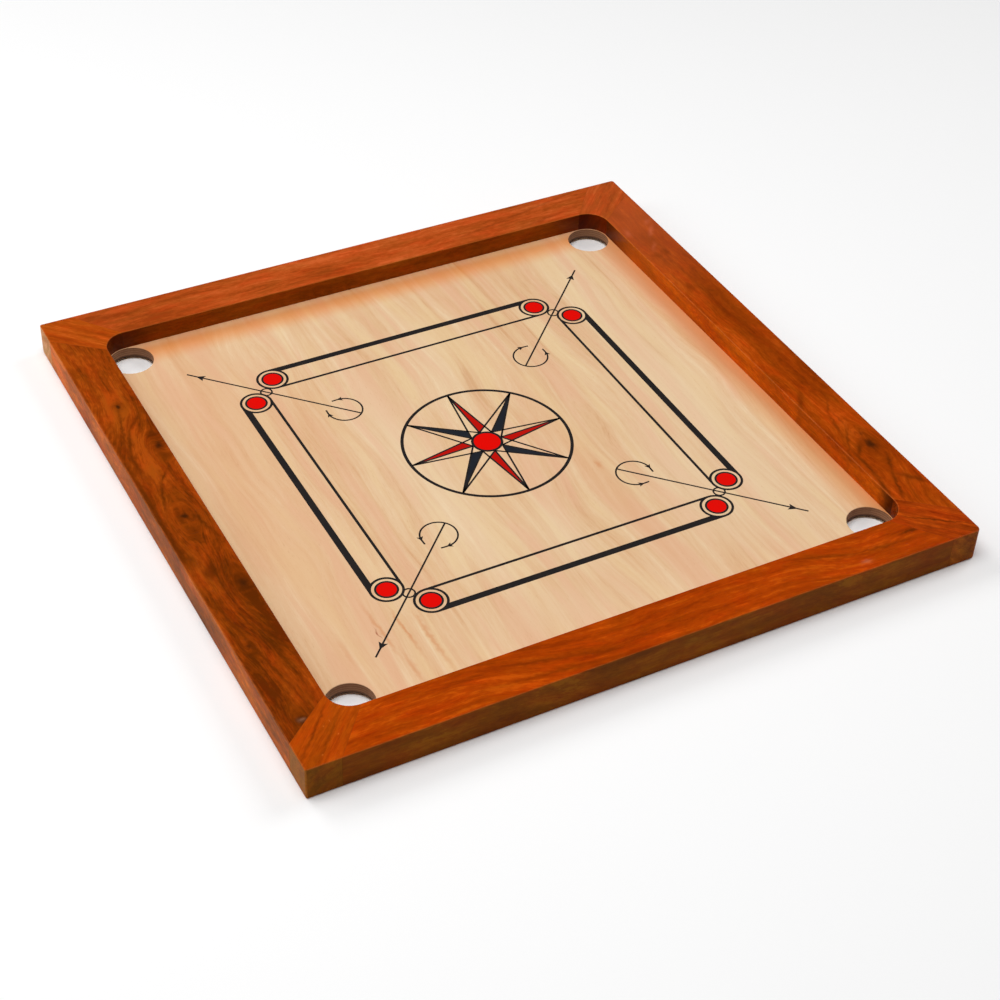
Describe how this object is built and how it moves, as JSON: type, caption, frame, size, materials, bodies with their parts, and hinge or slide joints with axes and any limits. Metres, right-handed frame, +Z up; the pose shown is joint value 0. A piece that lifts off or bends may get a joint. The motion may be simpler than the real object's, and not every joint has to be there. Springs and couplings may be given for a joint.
{
  "type": "carrom board",
  "caption": "Square wooden carrom board with a raised hardwood frame, a recessed plywood playing surface and a round pocket in each corner.",
  "frame": {"origin": "centre of the underside of the frame, on the surface that the board stands on", "axes": "+Z up out of the playing surface, -Y towards the front rail, -X towards the left rail"},
  "size_m": [0.7112, 0.7112, 0.036],
  "materials": {
    "rail_hardwood": "varnished, satin gloss, reddish brown with dark streaks",
    "corner_hardwood": "varnished, satin gloss, reddish brown with diagonal grain",
    "panel_plywood": "lacquered pale face veneer",
    "dowel_beech": "bare",
    "screw_steel": "zinc plated",
    "ink_dark": "screen-printed ink under lacquer, blue black",
    "ink_red": "screen-printed ink under lacquer, bright red"
  },
  "bodies": {
    "root": {"rail_front": "rail_hardwood", "rail_right": "rail_hardwood", "rail_back": "rail_hardwood", "rail_left": "rail_hardwood", "corner_block_front_left": "corner_hardwood", "corner_block_front_right": "corner_hardwood", "corner_block_back_right": "corner_hardwood", "corner_block_back_left": "corner_hardwood", "playing_panel": "panel_plywood", "joint_dowels": "dowel_beech", "panel_screws": "screw_steel"}
  },
  "joints": []
}
